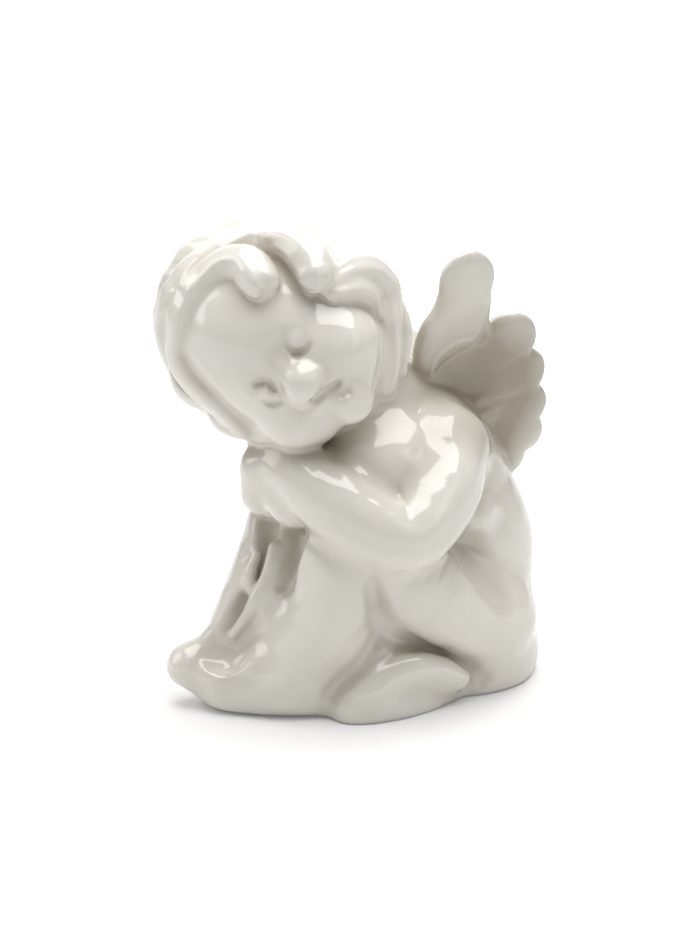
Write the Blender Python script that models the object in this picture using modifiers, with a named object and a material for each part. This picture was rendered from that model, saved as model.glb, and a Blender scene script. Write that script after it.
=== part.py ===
"""Seated cherub figurine in glazed white porcelain.

The figure is cast in sections that are luted together with slip: a hollow torso with a vent in
its underside, a hollow head, two arms, two legs, two wings, four sprigged hair curls and the
mound under the left thigh. Pegs on the head, limbs and wings seat in sockets of the torso.
Metres, +Z up; the figure faces -Y and its own left is +X. It stands on Z = 0.
"""

import bmesh
import bpy
from mathutils import Matrix, Vector

# Luting joints and casting walls
JOINT_GAP = 0.0003
TORSO_WALL = 0.0045
HEAD_WALL = 0.0050
VENT_DIAMETER = 0.0080
PASSAGE_DIAMETER = 0.0060
NECK_PEG_DIAMETER = 0.0110
LIMB_PEG_DIAMETER = 0.0050
WING_PEG_DIAMETER = 0.0036
PEG_REACH = 0.0030

# Torso: widths are across X, depths along Y, heights along Z
PELVIS_WIDTH = 0.0420
PELVIS_DEPTH = 0.0370
PELVIS_HEIGHT = 0.0400
PELVIS_CENTRE = (0.0020, 0.0205, 0.0045)
WAIST_WIDTH = 0.0390
WAIST_DEPTH = 0.0340
WAIST_HEIGHT = 0.0440
WAIST_CENTRE = (0.0020, 0.0208, 0.0240)
CHEST_WIDTH = 0.0340
CHEST_DEPTH = 0.0280
CHEST_HEIGHT = 0.0260
CHEST_CENTRE = (0.0015, 0.0155, 0.0430)
SHOULDERS_WIDTH = 0.0340
SHOULDERS_DEPTH = 0.0190
SHOULDERS_HEIGHT = 0.0160
SHOULDERS_CENTRE = (0.0010, 0.0105, 0.0500)
SHOULDER_CAP_DIAMETER = 0.0172
SHOULDER_CAP_SPREAD = 0.0230
BELLY_ROLL_WIDTH = 0.0130
BELLY_ROLL_HEIGHT = 0.0096
BELLY_ROLL_CENTRE = (0.0150, 0.0140, 0.0350)
LAP_WIDTH = 0.0250
LAP_DEPTH = 0.0330
LAP_HEIGHT = 0.0400
LAP_CENTRE = (0.0000, 0.0010, 0.0170)
UNDER_KNEE_WIDTH = 0.0210
UNDER_KNEE_DEPTH = 0.0260
UNDER_KNEE_HEIGHT = 0.0280
UNDER_KNEE_CENTRE = (0.0065, -0.0030, 0.0130)
BREAST_DIAMETER = 0.0240
BREAST_CENTRE = (0.0010, 0.0030, 0.0440)
COLLAR_DIAMETER = 0.0205
COLLAR_CENTRE = (0.0085, -0.0015, 0.0460)
NECK_DIAMETER = 0.0190
NECK_SEAT = (0.0020, 0.0060, 0.0545)

# Head: it lies on its right cheek, with its crown forward and its face turned to the left
HEAD_CENTRE = (-0.0060, -0.0127, 0.0690)
HEAD_CROWN = (-0.67, -0.57, 0.48)
HEAD_GAZE = (0.67, -0.75, 0.05)
CRANIUM_WIDTH = 0.0360
CRANIUM_DEPTH = 0.0392
CRANIUM_HEIGHT = 0.0396
CRANIUM_DROP = -0.0030
CRANIUM_SETBACK = 0.0015
CRANIUM_OFFSET = 0.0007
FACE_WIDTH = 0.0316
FACE_DEPTH = 0.0280
FACE_HEIGHT = 0.0320
FACE_DROP = 0.0050
FACE_FORWARD = 0.0050
FACE_OFFSET = 0.0010
FOREHEAD_WIDTH = 0.0252
FOREHEAD_DEPTH = 0.0204
FOREHEAD_HEIGHT = 0.0220
FOREHEAD_RISE = 0.0025
FOREHEAD_FORWARD = 0.0086
CHEEK_DIAMETER = 0.0138
CHEEK_SPREAD = 0.0156
CHEEK_DROP = 0.0110
CHEEK_FORWARD = 0.0106
CHIN_DIAMETER = 0.0088
CHIN_DROP = 0.0174
CHIN_FORWARD = 0.0126
NOSE_DIAMETER = 0.0050
NOSE_DROP = 0.0092
NOSE_FORWARD = 0.0186
CURL_DIAMETER = 0.0068
CURL_TIP_DIAMETER = 0.0052
HAIR_ROLL_DIAMETER = 0.0060
LOCK_DIAMETER = 0.0048

# Arms, from the shoulder round the elbow to the hand
SHOULDER_DIAMETER = 0.0160
UPPER_ARM_DIAMETER = 0.0145
ELBOW_DIAMETER = 0.0135
FOREARM_DIAMETER = 0.0130
WRIST_DIAMETER = 0.0100
HAND_DIAMETER = 0.0115
LEFT_ARM_PATH = (
    (0.0140, 0.0110, 0.0475),
    (0.0195, 0.0040, 0.0410),
    (0.0200, -0.0050, 0.0360),
    (0.0125, -0.0135, 0.0420),
    (0.0045, -0.0165, 0.0470),
    (-0.0020, -0.0165, 0.0455),
)
RIGHT_ARM_PATH = (
    (-0.0125, 0.0120, 0.0475),
    (-0.0190, 0.0060, 0.0420),
    (-0.0185, -0.0010, 0.0385),
    (-0.0110, -0.0080, 0.0410),
    (-0.0035, -0.0125, 0.0405),
    (0.0035, -0.0155, 0.0400),
)

# Legs, from the hip over the knee to the ankle, and the feet
HIP_DIAMETER = 0.0220
THIGH_DIAMETER = 0.0204
KNEE_DIAMETER = 0.0170
CALF_DIAMETER = 0.0160
ANKLE_DIAMETER = 0.0135
HEEL_DIAMETER = 0.0135
TOE_DIAMETER = 0.0102
LEFT_LEG_PATH = (
    (0.0140, 0.0200, 0.0130),
    (0.0150, 0.0070, 0.0215),
    (0.0110, -0.0075, 0.0330),
    (0.0085, -0.0115, 0.0210),
    (0.0025, -0.0165, 0.0090),
)
LEFT_FOOT_PATH = (
    (0.0045, -0.0115, 0.0050),
    (-0.0010, -0.0185, 0.0050),
    (-0.0056, -0.0242, 0.0046),
)
RIGHT_LEG_PATH = (
    (-0.0130, 0.0190, 0.0140),
    (-0.0120, 0.0060, 0.0250),
    (-0.0060, -0.0075, 0.0350),
    (-0.0060, -0.0140, 0.0240),
    (-0.0080, -0.0214, 0.0100),
)
RIGHT_FOOT_PATH = (
    (-0.0080, -0.0190, 0.0050),
    (-0.0095, -0.0242, 0.0054),
    (-0.0116, -0.0292, 0.0076),
)

# Peg lines across the joints, from a point in the limb to a point in the torso
LEFT_HIP_PEG = ((0.0300, 0.0120, 0.0180), (0.0020, 0.0200, 0.0180))
RIGHT_HIP_PEG = ((-0.0280, 0.0120, 0.0180), (0.0020, 0.0200, 0.0180))
LEFT_SHOULDER_PEG = ((0.0300, 0.0110, 0.0460), (0.0015, 0.0140, 0.0440))
RIGHT_SHOULDER_PEG = ((-0.0280, 0.0110, 0.0460), (0.0015, 0.0140, 0.0440))

# Wings, laid out from the root in the plane of the blade: along the back, then up
WING_ROOT_OFFSET = (0.0080, 0.0070, 0.0050)
WING_SPLAY = (0.35, 0.94, 0.0)
LEFT_WING_LEAN = (0.23, -0.08, 0.97)
RIGHT_WING_LEAN = (-0.50, -0.10, 0.85)
WING_PEG = ((0.0020, 0.0040, 0.0), (0.0000, -0.0200, -0.0060))
WING_THICKNESS = 0.0046
WING_PAD_WIDTH = 0.0146
WING_PAD_HEIGHT = 0.0192
WING_PAD_THICKNESS = 0.0062
WING_PAD_CENTRE = (-0.0070, 0.0185, 0.0004)
WING_HEEL_WIDTH = 0.0140
WING_HEEL_HEIGHT = 0.0200
WING_HEEL_CENTRE = (-0.0030, 0.0080, -0.0006)
WING_BOWL_DIAMETER = 0.0248
WING_BOWL_CENTRE = (-0.0036, 0.0130, 0.0120)
FEATHER_SET_BACK = 0.0004
FEATHER_WIDTH = 0.0116
FEATHER_TIP_DIAMETER = 0.0100
FEATHER_BASES = (
    (-0.0060, 0.0100),
    (-0.0060, 0.0090),
    (-0.0050, 0.0070),
    (-0.0030, 0.0040),
    (-0.0020, 0.0010),
    (-0.0020, -0.0030),
)
FEATHER_TIPS = (
    (-0.0049, 0.0376),
    (0.0086, 0.0224),
    (0.0128, 0.0126),
    (0.0144, 0.0040),
    (0.0142, -0.0034),
    (0.0112, -0.0094),
)

# Mound of drapery on the ground under the left thigh
MOUND_WIDTH = 0.0144
MOUND_LENGTH = 0.0320
MOUND_HEIGHT = 0.0240
MOUND_CENTRE = (0.0136, 0.0020, 0.0015)
MOUND_RIDGE_DIAMETERS = (0.0048, 0.0062, 0.0062, 0.0048)
MOUND_RIDGE_PATH = (
    (0.0155, -0.0085, 0.0060),
    (0.0180, -0.0030, 0.0090),
    (0.0196, 0.0030, 0.0086),
    (0.0206, 0.0090, 0.0056),
)
MOUND_TOE_WIDTH = 0.0140
MOUND_TOE_LENGTH = 0.0160
MOUND_TOE_HEIGHT = 0.0160
MOUND_TOE_CENTRE = (0.0080, -0.0065, 0.0020)

# Fineness of the solids
VOXEL = 0.0008
SMOOTHING = 6
COARSE_SEGMENTS = 16
FINE_SEGMENTS = 24
TORSO_FACES = 1700
HEAD_FACES = 2400
LIMB_FACES = 900
WING_FACES = 1000
CURL_FACES = 300
MOUND_FACES = 320
CAVITY_FACES = 320
FLOOR_DEPTH = 0.0500
FLOOR_SIDE = 0.3000

PORCELAIN = (0.80, 0.78, 0.73, 1.0)


def collection(name):
    """A new collection in the scene."""
    made = bpy.data.collections.new(name)
    bpy.context.scene.collection.children.link(made)
    return made


def clear_scene():
    for old in list(bpy.data.objects):
        bpy.data.objects.remove(old)


def porcelain(name):
    """White glazed porcelain for one piece."""
    made = bpy.data.materials.new(name)
    made.use_nodes = True
    shader = made.node_tree.nodes["Principled BSDF"]
    shader.inputs["Base Color"].default_value = PORCELAIN
    shader.inputs["Roughness"].default_value = 0.12
    shader.inputs["Metallic"].default_value = 0.0
    return made


def evaluated_mesh(obj):
    """The object's mesh with its modifiers applied and its points welded."""
    bpy.context.view_layer.update()
    graph = bpy.context.evaluated_depsgraph_get()
    mesh = bpy.data.meshes.new_from_object(obj.evaluated_get(graph))
    work = bmesh.new()
    work.from_mesh(mesh)
    bmesh.ops.remove_doubles(work, verts=work.verts, dist=1e-6)
    work.to_mesh(mesh)
    work.free()
    return mesh


def bake(obj):
    """Turns the object into the plain mesh that its modifiers make."""
    mesh = evaluated_mesh(obj)
    obj.modifiers.clear()
    obj.data = mesh


def mesh_object(name, mesh, group):
    made = bpy.data.objects.new(name, mesh)
    group.objects.link(made)
    return made


def cutter(name, meshes, cutters):
    """A solid that only cuts or joins others."""
    made = joined(name, meshes, cutters)
    made.hide_render = True
    made.display_type = "WIRE"
    return made


def ball(centre, size, turn=None):
    """An ellipsoid of the given width, depth and height, as a mesh."""
    work = bmesh.new()
    bmesh.ops.create_uvsphere(
        work, u_segments=FINE_SEGMENTS, v_segments=COARSE_SEGMENTS, radius=0.5
    )
    matrix = Matrix.Translation(centre) @ (turn or Matrix()) @ Matrix.Diagonal((*size, 1.0))
    bmesh.ops.transform(work, matrix=matrix, verts=work.verts)
    mesh = bpy.data.meshes.new("ball")
    work.to_mesh(mesh)
    work.free()
    return mesh


def limb(path, diameters, group):
    """A round tapered limb along a smooth path, with round ends, as a list of meshes."""
    curve = bpy.data.curves.new("limb", "CURVE")
    curve.dimensions = "3D"
    curve.bevel_depth = 1.0
    curve.bevel_resolution = 4
    curve.resolution_u = 8
    curve.use_fill_caps = True
    spline = curve.splines.new("BEZIER")
    spline.bezier_points.add(len(path) - 1)
    for point, place, diameter in zip(spline.bezier_points, path, diameters):
        point.co = place
        point.radius = diameter / 2
        point.handle_left_type = point.handle_right_type = "AUTO"
    tube = bpy.data.objects.new("limb", curve)
    group.objects.link(tube)
    bpy.context.view_layer.update()
    mesh = evaluated_mesh(tube)
    bpy.data.objects.remove(tube)
    ends = [ball(path[i], (diameters[i],) * 3) for i in (0, -1)]
    return [mesh, *ends]


def cylinder(start, end, diameter):
    """A closed cylinder between two points, as a mesh."""
    start, end = Vector(start), Vector(end)
    along = end - start
    work = bmesh.new()
    bmesh.ops.create_cone(
        work,
        cap_ends=True,
        segments=COARSE_SEGMENTS,
        radius1=diameter / 2,
        radius2=diameter / 2,
        depth=along.length,
    )
    turn = along.to_track_quat("Z", "Y").to_matrix().to_4x4()
    bmesh.ops.transform(work, matrix=Matrix.Translation((start + end) / 2) @ turn, verts=work.verts)
    mesh = bpy.data.meshes.new("cylinder")
    work.to_mesh(mesh)
    work.free()
    return mesh


def joined(name, meshes, group):
    """Several meshes in one object, not yet fused."""
    work = bmesh.new()
    for mesh in meshes:
        work.from_mesh(mesh)
        bpy.data.meshes.remove(mesh)
    mesh = bpy.data.meshes.new(name)
    work.to_mesh(mesh)
    work.free()
    return mesh_object(name, mesh, group)


def fused(name, meshes, faces, group, hollow=None):
    """Overlapping forms fused into one smooth solid with about this many triangles.

    The hollow, where there is one, is pressed into the solid before it is thinned.
    """
    made = joined(name, meshes, group)
    remesh = made.modifiers.new("fuse", "REMESH")
    remesh.mode = "VOXEL"
    remesh.voxel_size = VOXEL
    smooth = made.modifiers.new("soften", "SMOOTH")
    smooth.factor = 0.5
    smooth.iterations = SMOOTHING
    bake(made)
    if hollow:
        combine(made, hollow, "DIFFERENCE")
    dense = made.data
    for spare in (1.0, 1.1, 1.2, 1.3, 1.4):
        made.data = dense.copy()
        made.modifiers.new("triangles", "TRIANGULATE")
        thin = made.modifiers.new("thin", "DECIMATE")
        thin.ratio = min(1.0, spare * faces / (2 * len(dense.polygons)))
        bake(made)
        if closed(made):
            break
    return made


def closed(obj):
    """Whether every edge of the mesh has a face on both sides."""
    work = bmesh.new()
    work.from_mesh(obj.data)
    answer = all(edge.is_manifold for edge in work.edges)
    work.free()
    return answer


def combine(obj, other, operation):
    """Cuts the object by another solid, or joins the two."""
    modifier = obj.modifiers.new(operation.lower(), "BOOLEAN")
    modifier.operation = operation
    modifier.object = other
    modifier.solver = "MANIFOLD"
    bake(obj)


def seat_for(form, cutters):
    """A form with its surface moved out by the joint's gap, to cut its neighbours' seats."""
    seat = cutter(form.name + "_seat", [form.data.copy()], cutters)
    displace = seat.modifiers.new("gap", "DISPLACE")
    displace.strength = JOINT_GAP
    displace.mid_level = 0.0
    bake(seat)
    return seat


def largest_piece(obj):
    """Drops the offcuts that a cut leaves loose."""
    work = bmesh.new()
    work.from_mesh(obj.data)
    left = set(work.verts)
    islands = []
    while left:
        island, front = set(), [left.pop()]
        while front:
            vert = front.pop()
            island.add(vert)
            near = {edge.other_vert(vert) for edge in vert.link_edges} & left
            left -= near
            front.extend(near)
        islands.append(island)
    islands.sort(key=len)
    for island in islands[:-1]:
        bmesh.ops.delete(work, geom=list(island), context="VERTS")
    work.to_mesh(obj.data)
    work.free()


def box(centre, size):
    """A box, as a mesh."""
    work = bmesh.new()
    matrix = Matrix.Translation(centre) @ Matrix.Diagonal((*size, 1.0))
    bmesh.ops.create_cube(work, size=1.0, matrix=matrix)
    mesh = bpy.data.meshes.new("box")
    work.to_mesh(mesh)
    work.free()
    return mesh


def ground(level, cutters):
    """A slab whose top is at this level."""
    slab = box((0.0, 0.0, level - FLOOR_DEPTH / 2), (FLOOR_SIDE, FLOOR_SIDE, FLOOR_DEPTH))
    return cutter("ground", [slab], cutters)


def seat_piece(obj, seats, cutters):
    """Cuts a piece level with the ground and back from the pieces it is luted to."""
    combine(obj, ground(0.0, cutters), "DIFFERENCE")
    for seat in seats:
        combine(obj, seat, "DIFFERENCE")
    largest_piece(obj)


def peg(obj, torso, form, outside, inside, diameter, cutters):
    """A peg across the joint on the line between two points, and its socket in the torso."""
    outside, inside = Vector(outside), Vector(inside)
    along = (inside - outside).normalized()
    joint = form.ray_cast(outside, along)[1]
    start = joint - along * PEG_REACH
    end = joint + along * PEG_REACH
    pin = cutter("peg", [cylinder(start, end, diameter)], cutters)
    bore = cylinder(start, end + along * JOINT_GAP, diameter + 2 * JOINT_GAP)
    combine(torso, cutter("socket", [bore], cutters), "DIFFERENCE")
    combine(obj, pin, "UNION")


def torso_forms(inset=0.0):
    """The torso's forms, drawn in by an inset for the cavity."""
    shrink = Vector((2 * inset,) * 3)
    forms = (
        (PELVIS_CENTRE, (PELVIS_WIDTH, PELVIS_DEPTH, PELVIS_HEIGHT)),
        (WAIST_CENTRE, (WAIST_WIDTH, WAIST_DEPTH, WAIST_HEIGHT)),
        (CHEST_CENTRE, (CHEST_WIDTH, CHEST_DEPTH, CHEST_HEIGHT)),
    )
    return [ball(centre, Vector(size) - shrink) for centre, size in forms]


def make_torso(group):
    shoulders = ball(SHOULDERS_CENTRE, (SHOULDERS_WIDTH, SHOULDERS_DEPTH, SHOULDERS_HEIGHT))
    caps = []
    for side in (-1, 1):
        cap = Vector(SHOULDERS_CENTRE) + Vector((side * SHOULDER_CAP_SPREAD / 2, 0.0, 0.0))
        caps.append(ball(cap, (SHOULDER_CAP_DIAMETER,) * 3))
    belly = ball(BELLY_ROLL_CENTRE, (BELLY_ROLL_WIDTH, BELLY_ROLL_WIDTH, BELLY_ROLL_HEIGHT))
    lap = ball(LAP_CENTRE, (LAP_WIDTH, LAP_DEPTH, LAP_HEIGHT))
    under_knee = ball(UNDER_KNEE_CENTRE, (UNDER_KNEE_WIDTH, UNDER_KNEE_DEPTH, UNDER_KNEE_HEIGHT))
    breast = ball(BREAST_CENTRE, (BREAST_DIAMETER,) * 3)
    collar = ball(COLLAR_CENTRE, (COLLAR_DIAMETER,) * 3)
    neck = limb((CHEST_CENTRE, NECK_SEAT), (NECK_DIAMETER,) * 2, group)
    forms = [*torso_forms(), shoulders, *caps, belly, lap, under_knee, breast, collar, *neck]
    return fused("torso", forms, TORSO_FACES, group)


def hollow_torso(torso, cutters):
    """Cuts the cast cavity, and the vent under the seat that opens it."""
    cavity = fused("torso_cavity", torso_forms(TORSO_WALL), CAVITY_FACES, cutters)
    cavity.hide_render = True
    combine(cavity, ground(TORSO_WALL, cutters), "DIFFERENCE")
    combine(torso, cavity, "DIFFERENCE")
    seat = Vector((PELVIS_CENTRE[0], PELVIS_CENTRE[1], 0.0))
    rise = Vector((0.0, 0.0, 2 * TORSO_WALL))
    vent = cylinder(seat - rise, seat + rise, VENT_DIAMETER)
    combine(torso, cutter("vent", [vent], cutters), "DIFFERENCE")


def head_frame():
    """The head's own axes at its centre: its left, its back and its crown."""
    crown = Vector(HEAD_CROWN).normalized()
    left = crown.cross(Vector(HEAD_GAZE)).normalized()
    back = crown.cross(left)
    turn = Matrix((left, back, crown)).transposed().to_4x4()
    return Matrix.Translation(HEAD_CENTRE) @ turn


def in_head(left, forward, drop):
    """A point given in the head's own axes."""
    return head_frame() @ Vector((left, -forward, -drop))


def head_ball(left, forward, drop, size):
    frame = head_frame()
    turn = frame.to_3x3().to_4x4()
    return ball(in_head(left, forward, drop), size, turn)


def cranium(inset=0.0):
    size = Vector((CRANIUM_WIDTH, CRANIUM_DEPTH, CRANIUM_HEIGHT)) - Vector((2 * inset,) * 3)
    return head_ball(CRANIUM_OFFSET, -CRANIUM_SETBACK, CRANIUM_DROP, size)


def in_cranium(path):
    """A path given in parts of the cranium's half width and half height."""
    half, top = CRANIUM_WIDTH / 2, CRANIUM_HEIGHT / 2
    return [in_head(left * half, forward * half, drop * top) for left, forward, drop in path]


def hair(group):
    """Three rolls of hair combed forward round the face, and two locks over the right cheek."""
    rolls = (
        (
            (-0.06, 0.78, -0.70), (-0.44, 0.61, -0.64), (-0.67, 0.52, -0.41), (-0.78, 0.51, -0.12),
            (-0.81, 0.47, 0.18),
        ),
        (
            (0.81, 0.33, -0.61), (0.39, 0.48, -0.84), (-0.17, 0.43, -0.89), (-0.52, 0.28, -0.75),
            (-0.76, 0.18, -0.49), (-0.87, 0.20, -0.20), (-0.87, 0.31, 0.08), (-0.78, 0.47, 0.35),
        ),
        (
            (0.67, -0.17, -0.79), (0.22, 0.00, -0.99), (-0.33, 0.00, -0.94),
            (-0.67, -0.11, -0.69), (-0.88, -0.17, -0.38), (-0.93, -0.08, -0.05),
            (-0.92, 0.14, 0.23), (-0.83, 0.31, 0.43),
        ),
    )
    locks = (
        (
            (-0.53, 0.33, -0.71), (-0.70, 0.33, -0.53), (-0.82, 0.39, -0.27),
        ),
        (
            (-0.83, 0.31, -0.23), (-0.90, 0.33, -0.02), (-0.87, 0.44, 0.23),
        ),
    )
    made = []
    for path in rolls:
        made += limb(in_cranium(path), (HAIR_ROLL_DIAMETER,) * len(path), group)
    for path in locks:
        made += limb(in_cranium(path), (LOCK_DIAMETER,) * len(path), group)
    return made


def make_head(group):
    forms = [
        cranium(),
        head_ball(FACE_OFFSET, FACE_FORWARD, FACE_DROP, (FACE_WIDTH, FACE_DEPTH, FACE_HEIGHT)),
        head_ball(
            FACE_OFFSET,
            FOREHEAD_FORWARD,
            -FOREHEAD_RISE,
            (FOREHEAD_WIDTH, FOREHEAD_DEPTH, FOREHEAD_HEIGHT),
        ),
        head_ball(FACE_OFFSET, CHIN_FORWARD, CHIN_DROP, (CHIN_DIAMETER,) * 3),
        head_ball(FACE_OFFSET, NOSE_FORWARD, NOSE_DROP, (NOSE_DIAMETER,) * 3),
        *hair(group),
    ]
    for side in (-1, 1):
        cheek = (FACE_OFFSET + side * CHEEK_SPREAD / 2, CHEEK_FORWARD, CHEEK_DROP)
        forms.append(head_ball(*cheek, (CHEEK_DIAMETER,) * 3))
    nape = in_head(0.0, -CRANIUM_SETBACK, CRANIUM_HEIGHT / 3)
    forms += limb((nape, NECK_SEAT), (NECK_DIAMETER,) * 2, group)
    return fused("head", forms, HEAD_FACES, group)


def curl_paths():
    """Each sprigged curl's strands over the left temple, from root to tip."""
    return {
        "forelock": (
            (
                (0.06, 0.77, -0.74), (0.39, 0.87, -0.62), (0.63, 0.88, -0.41),
                (0.74, 0.87, -0.23),
            ),
        ),
        "brow_curl": (
            (
                (0.89, 0.36, -0.45), (1.01, 0.50, -0.23), (0.99, 0.63, -0.03),
                (0.93, 0.74, 0.08),
            ),
        ),
        "temple_curl": (
            (
                (0.91, 0.68, 0.18), (1.05, 0.44, 0.30), (1.09, 0.22, 0.46), (0.99, 0.09, 0.67),
                (0.77, 0.17, 0.82),
            ),
            (
                (0.87, 0.69, 0.28), (0.94, 0.50, 0.43), (0.90, 0.37, 0.59),
            ),
        ),
        "nape_lock": (
            (
                (0.94, 0.00, 0.63), (0.78, 0.19, 0.86), (0.47, 0.19, 1.05), (0.17, 0.17, 1.15),
            ),
            (
                (0.92, -0.25, 0.63), (0.69, -0.06, 0.93), (0.33, -0.06, 1.12),
            ),
        ),
    }


def make_curl(name, strands, group):
    forms = []
    for path in strands:
        diameters = [CURL_DIAMETER] * len(path)
        diameters[-1] = CURL_TIP_DIAMETER
        forms += limb(in_cranium(path), diameters, group)
    return fused(name, forms, CURL_FACES, group)


def make_arm(name, path, group):
    diameters = (
        SHOULDER_DIAMETER,
        UPPER_ARM_DIAMETER,
        ELBOW_DIAMETER,
        FOREARM_DIAMETER,
        WRIST_DIAMETER,
        HAND_DIAMETER,
    )
    return fused(name, limb(path, diameters, group), LIMB_FACES, group)


def make_leg(name, leg_path, foot_path, group):
    leg = (HIP_DIAMETER, THIGH_DIAMETER, KNEE_DIAMETER, CALF_DIAMETER, ANKLE_DIAMETER)
    foot = (HEEL_DIAMETER, HEEL_DIAMETER, TOE_DIAMETER)
    forms = limb(leg_path, leg, group) + limb(foot_path, foot, group)
    return fused(name, forms, LIMB_FACES, group)


def wing_frame(side):
    """The wing's axes at its root: along the back, up the blade and out through its face."""
    mirror = Vector((side, 1.0, 1.0))
    along = (Vector(WING_SPLAY) * mirror).normalized()
    lean = Vector(LEFT_WING_LEAN if side > 0 else RIGHT_WING_LEAN)
    face = along.cross(lean).normalized()
    up = face.cross(along)
    turn = Matrix((along, up, face * side)).transposed().to_4x4()
    root = Vector((0.0, *CHEST_CENTRE[1:])) + Vector(WING_ROOT_OFFSET) * mirror
    root.x += side * CHEST_CENTRE[0]
    return Matrix.Translation(root) @ turn


def make_wing(name, side, group, cutters):
    frame = wing_frame(side)
    pad = ball(WING_PAD_CENTRE, (WING_PAD_WIDTH, WING_PAD_HEIGHT, WING_PAD_THICKNESS))
    heel = ball(WING_HEEL_CENTRE, (WING_HEEL_WIDTH, WING_HEEL_HEIGHT, WING_PAD_THICKNESS))
    forms = [pad, heel]
    for row, (base, tip) in enumerate(zip(FEATHER_BASES, FEATHER_TIPS)):
        set_back = -row * FEATHER_SET_BACK
        base, tip = Vector((*base, set_back)), Vector((*tip, set_back))
        along = tip - base
        turn = Matrix.Rotation(along.xy.angle_signed(Vector((1.0, 0.0))), 4, "Z")
        forms.append(ball((base + tip) / 2, (along.length, FEATHER_WIDTH, WING_THICKNESS), turn))
        end = tip - along.normalized() * FEATHER_TIP_DIAMETER / 2
        forms.append(ball(end, (FEATHER_TIP_DIAMETER, FEATHER_TIP_DIAMETER, WING_THICKNESS)))
    for form in forms:
        form.transform(frame)
        if side < 0:
            form.flip_normals()
    bowl = ball(frame @ Vector(WING_BOWL_CENTRE), (WING_BOWL_DIAMETER,) * 3)
    return fused(name, forms, WING_FACES, group, cutter(name + "_bowl", [bowl], cutters))


def make_mound(group):
    fold = ball(MOUND_CENTRE, (MOUND_WIDTH, MOUND_LENGTH, MOUND_HEIGHT))
    toe = ball(MOUND_TOE_CENTRE, (MOUND_TOE_WIDTH, MOUND_TOE_LENGTH, MOUND_TOE_HEIGHT))
    ridge = limb(MOUND_RIDGE_PATH, MOUND_RIDGE_DIAMETERS, group)
    return fused("base_mound", [fold, toe, *ridge], MOUND_FACES, group)


def hollow_head(head, torso, cutters):
    """Cuts the head's cavity, and the passage through the neck that opens it to the torso's."""
    combine(head, cutter("head_cavity", [cranium(HEAD_WALL)], cutters), "DIFFERENCE")
    centre = in_head(CRANIUM_OFFSET, -CRANIUM_SETBACK, CRANIUM_DROP)
    bore = cylinder(centre, CHEST_CENTRE, PASSAGE_DIAMETER)
    passage = cutter("passage", [bore], cutters)
    combine(head, passage, "DIFFERENCE")
    combine(torso, passage, "DIFFERENCE")


def main():
    clear_scene()
    figure = collection("cherub_figurine")
    cutters = collection("cutters")

    torso = make_torso(figure)
    form = cutter("torso_form", [torso.data.copy()], cutters)
    seats = [seat_for(torso, cutters)]
    combine(torso, ground(0.0, cutters), "DIFFERENCE")
    hollow_torso(torso, cutters)

    def place(piece):
        """Seats a piece against those already placed, and keeps its own seat for the next."""
        own = seat_for(piece, cutters)
        seat_piece(piece, seats, cutters)
        seats.append(own)
        return piece

    left_leg = place(make_leg("left_leg", LEFT_LEG_PATH, LEFT_FOOT_PATH, figure))
    right_leg = place(make_leg("right_leg", RIGHT_LEG_PATH, RIGHT_FOOT_PATH, figure))
    place(make_mound(figure))
    left_arm = place(make_arm("left_arm", LEFT_ARM_PATH, figure))
    right_arm = place(make_arm("right_arm", RIGHT_ARM_PATH, figure))
    head = place(make_head(figure))
    for name, strands in curl_paths().items():
        place(make_curl(name, strands, figure))
    left_wing = place(make_wing("left_wing", 1, figure, cutters))
    right_wing = place(make_wing("right_wing", -1, figure, cutters))

    for leg, hip in ((left_leg, LEFT_HIP_PEG), (right_leg, RIGHT_HIP_PEG)):
        peg(leg, torso, form, *hip, LIMB_PEG_DIAMETER, cutters)
    for arm, shoulder in ((left_arm, LEFT_SHOULDER_PEG), (right_arm, RIGHT_SHOULDER_PEG)):
        peg(arm, torso, form, *shoulder, LIMB_PEG_DIAMETER, cutters)
    for wing, side in ((left_wing, 1), (right_wing, -1)):
        start, end = (wing_frame(side) @ Vector(point) for point in WING_PEG)
        peg(wing, torso, form, start, end, WING_PEG_DIAMETER, cutters)
    peg(head, torso, form, HEAD_CENTRE, CHEST_CENTRE, NECK_PEG_DIAMETER, cutters)
    hollow_head(head, torso, cutters)

    for obj in figure.objects:
        obj.data.materials.clear()
        obj.data.materials.append(porcelain(obj.name + "_glaze"))
        obj.data.shade_smooth()


main()
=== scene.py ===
import math
import bmesh
import bpy
import numpy as np
import openvdb
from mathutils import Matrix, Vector


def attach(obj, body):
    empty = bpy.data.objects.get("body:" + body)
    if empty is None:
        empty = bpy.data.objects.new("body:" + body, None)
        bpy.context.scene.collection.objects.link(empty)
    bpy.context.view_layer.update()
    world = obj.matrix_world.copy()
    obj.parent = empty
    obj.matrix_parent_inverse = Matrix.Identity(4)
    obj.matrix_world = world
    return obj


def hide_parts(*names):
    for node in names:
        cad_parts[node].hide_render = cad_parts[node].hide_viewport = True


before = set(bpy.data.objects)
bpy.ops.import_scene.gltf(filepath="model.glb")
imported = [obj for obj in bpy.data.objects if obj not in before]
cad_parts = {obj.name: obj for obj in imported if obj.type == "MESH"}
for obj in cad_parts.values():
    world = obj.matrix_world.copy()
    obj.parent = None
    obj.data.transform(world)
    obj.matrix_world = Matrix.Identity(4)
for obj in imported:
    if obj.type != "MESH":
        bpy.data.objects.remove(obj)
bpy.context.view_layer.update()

# Torso: a hollow porcelain casting with the seat, the rounded back, the chest and the closed-in lap
# between the thighs. Like every section it is modelled in clay first, in millimetres on a block of
# fine grain: a form is a distance field, and forms flow together where they touch, as clay does.
MM = 0.001
GRAIN = 0.36
BLOCK_LOW = np.array((-30.0, -38.0, -2.0))
BLOCK_HIGH = np.array((30.0, 41.5, 93.0))
FAR = 9.0
MARGIN = 2.0
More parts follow.
